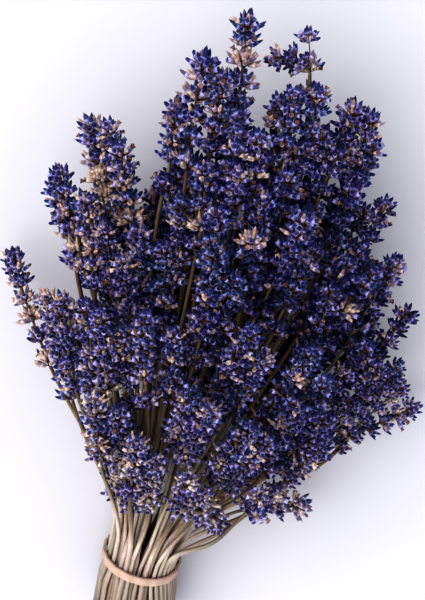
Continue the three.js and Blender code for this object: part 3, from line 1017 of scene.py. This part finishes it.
# %% One flower in its place
Tier = namedtuple("Tier", "number height out lean kinds size")
TIERS = [
    Tier(9, 0.03, 1.9, 70, budded, 0.9), Tier(8, 0.12, 1.4, 44, budded, 0.9),
    Tier(5, 0.22, 0.8, 18, [young], 1.05),
]
TIP_TIERS = [
    Tier(9, 0.02, 1.6, 70, budded, 0.92), Tier(8, 0.16, 1.2, 45, budded, 0.92),
    Tier(5, 0.3, 0.7, 18, [young], 1.1),
]
USUAL_TONE, TONE_SPREAD = 0.48, 0.2
EMPTY_FROM, WITHERED_FROM = 0.72, 0.92


def stand(base, axis, outward, lean, size, roll):
    """The matrix of a part that grows from base, leaning out from the axis."""
    grows = axis * math.cos(lean) + outward * math.sin(lean)
    faces = outward * math.cos(lean) - axis * math.sin(lean)
    turned = Matrix((faces, grows.cross(faces), grows)).transposed().to_4x4()
    spun_round = Matrix.Rotation(roll, 4, "Z")
    return Matrix.Translation(base) @ turned @ spun_round @ Matrix.Scale(size, 4)


def flower(piece, matrix, rng, kinds, whorl_tone):
    """One flower of a kind drawn at random, with its own tone."""
    draw = rng.random()
    tone = min(max(rng.gauss(USUAL_TONE + whorl_tone, TONE_SPREAD), 0), 1)
    if kinds is not budded or draw < EMPTY_FROM:
        place(piece, rng.choice(kinds), matrix, tone)
    else:
        place(piece, rng.choice(empty), matrix, tone)
        if draw > WITHERED_FROM:
            place(piece, rng.choice(withered), matrix, rng.random())


# %% [markdown]
# A spike's distance from the middle of the bunch raises or lowers the tone of its flowers. The
# spikes in the middle get a darker tone, a painted shade for the deep shade between them, and
# the outer ones a lighter tone that is more often faded, which on the low spikes near the band
# is painted light. Here and there a whole whorl has bleached. Those that show in the photograph
# are listed by spike and whorl, and others are drawn at random.

# %% How faded and how shaded a whorl is
MIDDLE_OF_FAN, FAR_OUT, SHADE_AND_FADE = Vector((48, 75)), 120, 0.19
BLEACHED, BLEACHED_SHARE = 0.3, 0.07
OWN_BLEACHED = {
    "spike_shoulder_left": (2, 3), "spike_shoulder_left_low": (1,), "spike_side_left": (1, 3),
    "spike_crown": (3,), "spike_stray_left": (0, 2), "spike_pair_04": (4,),
    "spike_stray_right": (1,),
}
WHORL_SPREAD = 0.08


# Painted shade and fade: a lower tone near the middle of the bunch, a higher one further out.
def shade_and_fade_of(one):
    away = (one.tip.xy - MIDDLE_OF_FAN).length / FAR_OUT
    return SHADE_AND_FADE * (2 * min(away, 1) - 1)


# %% [markdown]
# A whorl is never even. The whole of it opens a little more or less, each flower keeps its
# distance from its neighbours only roughly, and a few are missing. Under it sit its bracts.

# %% One whorl
MISSING = 0.05
OPENING = 9
HEIGHT_OFF, ANGLE_OFF, LEAN_OFF, ROLL_OFF = 0.05, 0.28, 12, 0.5
OUT_RANGE, SIZE_RANGE = (0.7, 1.2), (0.84, 1.12)
BRACTS = 3
BRACT_ANGLE_OFF, BRACT_LEANS, BRACT_SIZES = 0.4, (34, 66), (0.8, 1.25)
BRACT_BELOW, BRACT_OUT = 0.6, 0.8


def outward_at(axis, side, angle):
    """The side direction, turned about the spike's line and set square to it."""
    turned = Quaternion(axis, angle) @ side
    return (turned - axis * turned.dot(axis)).normalized()


def bracts(piece, one, side, share, size, rng):
    turn = rng.uniform(0, math.tau)
    axis = axis_at(one, share)
    for k in range(BRACTS):
        angle = turn + math.tau * k / BRACTS + give_or_take(rng, BRACT_ANGLE_OFF)
        outward = outward_at(axis, side, angle)
        foot = point_at(one, share) - axis * BRACT_BELOW + outward * BRACT_OUT
        lean = math.radians(rng.uniform(*BRACT_LEANS))
        matrix = stand(foot, axis, outward, lean, size * rng.uniform(*BRACT_SIZES), 0)
        place(piece, bract, matrix, rng.random())


def whorl(piece, one, side, start, end, tiers, size, bleached, rng):
    """One whorl between two shares of a spike's line."""
    opening = give_or_take(rng, OPENING)
    # the spike's place brings its painted shade and fade into the whorl's tone
    whorl_tone = rng.gauss(0, WHORL_SPREAD) + shade_and_fade_of(one) + (BLEACHED if bleached else 0)
    for tier in tiers:
        turn = rng.uniform(0, math.tau)
        for k in range(tier.number):
            if rng.random() < MISSING:
                continue
            share = start + (end - start) * (tier.height + give_or_take(rng, HEIGHT_OFF))
            axis = axis_at(one, share)
            angle = turn + math.tau * k / tier.number + give_or_take(rng, ANGLE_OFF)
            outward = outward_at(axis, side, angle)
            lean = math.radians(tier.lean + opening + give_or_take(rng, LEAN_OFF))
            foot = point_at(one, share) + outward * tier.out * rng.uniform(*OUT_RANGE)
            flower_size = size * tier.size * rng.uniform(*SIZE_RANGE)
            matrix = stand(foot, axis, outward, lean, flower_size, give_or_take(rng, ROLL_OFF))
            flower(piece, matrix, rng, tier.kinds, whorl_tone)
    bracts(piece, one, side, start, size, rng)


# %% [markdown]
# A spike is dressed from its foot to its tip. Its whorls get a little smaller on the way, and a
# thin stalk runs up through them and ends inside the last one.

# %% All the whorls of a spike
ANY_TURN = 6.28
FULLNESS, WHORL_SIZES = (0.92, 1.08), (0.94, 1.05)
TIP_SMALLER = 0.1
LONE_STRETCH = 0.6
STALK_ROWS, STALK_END, STALK_START = 5, 0.3, 0.002
STALK_THICK, STALK_TAPER, STALK_PLACE = 0.68, 0.3, 0.9


def dress(piece, one):
    rng = random.Random(f"{SEED} spike {one.node} {one.base.x:.3f}")
    axis = axis_at(one, 0)
    side = Quaternion(axis, rng.uniform(0, ANY_TURN)) @ axis.orthogonal().normalized()
    starts = whorl_starts(one)
    ends = starts[1:] + [1.0]
    last = len(starts) - 1
    own_fullness = OWN_FULLNESS.get(one.node, 1)
    fullness = rng.uniform(*FULLNESS) * own_fullness
    for index, (start, end) in enumerate(zip(starts, ends)):
        taper = 1.0 - TIP_SMALLER * (index / max(last, 1)) ** 2
        size = fullness * taper * rng.uniform(*WHORL_SIZES)
        if one.parted and index == 0:
            end = start + (end - start) * LONE_STRETCH
        tiers = TIP_TIERS if index == last else TIERS
        bleached = rng.random() < BLEACHED_SHARE or index in OWN_BLEACHED.get(one.node, ())
        whorl(piece, one, side, start, end, tiers, size, bleached, rng)
    top = starts[-1] + STALK_END * (1 - starts[-1])
    slim = min(own_fullness, 1) ** 2
    rows = range(STALK_ROWS + 1)
    path = [point_at(one, top * k / STALK_ROWS + STALK_START) for k in rows]
    radii = [(STALK_THICK - STALK_TAPER * k / STALK_ROWS) * slim for k in rows]
    places = [STALK_PLACE] * len(path)
    stalk(piece, path, radii, places, rng.random(), rng.random(), ON_STALK)


# %% Dress every spike
for name in spike_nodes:
    piece = new_piece()
    for one in spikes:
        if one.node == name:
            dress(piece, one)
    fine = name + "_flowers"
    triangles[fine] = finish_piece(piece, fine, SPIKE_COATS, [name])
for one in filling:
    piece = new_piece()
    dress(piece, one)
    triangles[one.node] = finish_piece(piece, one.node, SPIKE_COATS)
print("triangles in flowers:", sum(triangles.values()) - triangles["stems_fine"])
print("most in one piece:", max(triangles.values()))

# %% [markdown]
# ## The elastic band
# A flat ring of flesh-coloured rubber. Its section has rounded edges, and it is spun round the
# bundle, then pushed in and out a little in waves round it.
# The rubber is slightly cloudy, with a fine grain that takes the shine off.

# %% Rubber
CLOUDS, GRAIN = 160.0, 1800.0
rubber, tree, shader = new_material("rubber_band")
in_band = add(tree, "ShaderNodeTexCoord").outputs["Object"]
cloudy, grain = (
    add(tree, "ShaderNodeTexNoise", {"Vector": in_band, "Scale": scale, "Detail": detail})
    for scale, detail in ((CLOUDS, 3.0), (GRAIN, 2.0))
)
dress_shader(
    tree, shader,
    ramp(tree, cloudy.outputs["Fac"], [(0.3, (180, 157, 142)), (0.7, (201, 179, 164))]),
    {"Height": grain.outputs["Fac"], "Distance": 0.0001, "Strength": 0.4},
    {"Roughness": 0.5},
)
print("made:", rubber.name)

# %% Build the band
BAND_INNER, BAND_THICKNESS, BAND_WIDTH = 19.0, 1.6, 4.4
BAND_ROUNDING = 0.45
BAND_STEPS = 120
RIPPLES = ((0.12, 17, 0), (0.08, 29, 1))
FLUTTER, FLUTTERS, FLUTTER_START = 0.25, 3, 0.5


def build_band():
    piece = new_piece()
    inner, outer, half = BAND_INNER, BAND_INNER + BAND_THICKNESS, BAND_WIDTH / 2
    corners = [(inner, -half), (outer, -half), (outer, half), (inner, half)]
    section = [piece.verts.new((x, 0, z)) for x, z in corners]
    piece.faces.new(section)
    bmesh.ops.bevel(
        piece, geom=section, offset=BAND_ROUNDING, affect="VERTICES", segments=3, profile=0.5,
        material=-1,
    )
    bmesh.ops.delete(piece, geom=piece.faces[:], context="FACES_ONLY")
    spin_round(piece, piece.verts[:] + piece.edges[:], BAND_STEPS)
    for vert in piece.verts:
        angle = math.atan2(vert.co.y, vert.co.x)
        ripple = sum(much * math.sin(count * angle + start) for much, count, start in RIPPLES)
        vert.co.xy *= 1 + ripple / BAND_INNER
        vert.co.z += FLUTTER * math.sin(FLUTTERS * angle + FLUTTER_START)
    smooth(piece)
    lie = Matrix((ACROSS, -UPWARD, ALONG)).transposed().to_4x4()
    bmesh.ops.transform(piece, matrix=Matrix.Translation(TIE) @ lie, verts=piece.verts)
    return finish_piece(piece, "elastic_band_fine", [rubber], ["elastic_band"])


triangles["elastic_band_fine"] = build_band()
print("band:", triangles["elastic_band_fine"], "triangles; in all:", sum(triangles.values()))

# %% [markdown]
# ## Floor and light
# The bunch lies on a plain pale surface. A large soft light stands high at the left, so that the
# shadow falls softly to the right, and surroundings that are a little brighter at the left fill
# the rest.

# %% Floor
FLOOR_HALF = 3.0
floor_shape = bmesh.new()
bmesh.ops.create_grid(floor_shape, x_segments=1, y_segments=1, size=FLOOR_HALF)
floor_mesh = as_mesh(floor_shape, "floor")
floor = in_scene("floor", floor_mesh)
pale, _, shader = new_material("pale_surface")
shader.inputs["Base Color"].default_value = paint(198, 197, 200)
shader.inputs["Roughness"].default_value = 0.6
floor_mesh.materials.append(pale)
print("floor:", 2 * FLOOR_HALF, "m across")

# %% Light
SKY_COLOUR = (0.905, 0.92, 1.0, 1)
SKY_LEFT, SKY_RIGHT = 0.73, 0.69
WINDOW_COLOUR = (1.0, 0.985, 0.975)
WINDOW_FROM = Vector((-0.4, 0.06, 1.0))
WINDOW_STRENGTH, WINDOW_WIDTH = 1.45, math.radians(72)

world = bpy.data.worlds.new("surroundings")
world.use_nodes = True
sky = world.node_tree.nodes["Background"]
sky.inputs["Color"].default_value = SKY_COLOUR
outlook = add(world.node_tree, "ShaderNodeTexCoord").outputs["Generated"]
to_right = add(world.node_tree, "ShaderNodeSeparateXYZ", {"Vector": outlook}).outputs["X"]
brightness = fit(world.node_tree, to_right, SKY_LEFT, SKY_RIGHT, -1, 1)
world.node_tree.links.new(brightness, sky.inputs["Strength"])
bpy.context.scene.world = world

window = in_scene("window", bpy.data.lights.new("window", "SUN"))
window.data.energy = WINDOW_STRENGTH
window.data.angle = WINDOW_WIDTH
window.data.color = WINDOW_COLOUR
window.rotation_euler = (-WINDOW_FROM).to_track_quat("-Z", "Y").to_euler()

# %% [markdown]
# The photograph has a white surface and nearly black gaps inside the bunch. A plain view with a
# very high contrast comes close to that, and its gamma is set so that the middle greys match those
# of the photograph.

# %% How the picture is shown
shown = bpy.context.scene.view_settings
shown.view_transform = "Standard"
shown.look = "Very High Contrast"
shown.gamma = 0.88
print("view:", shown.view_transform, shown.look)
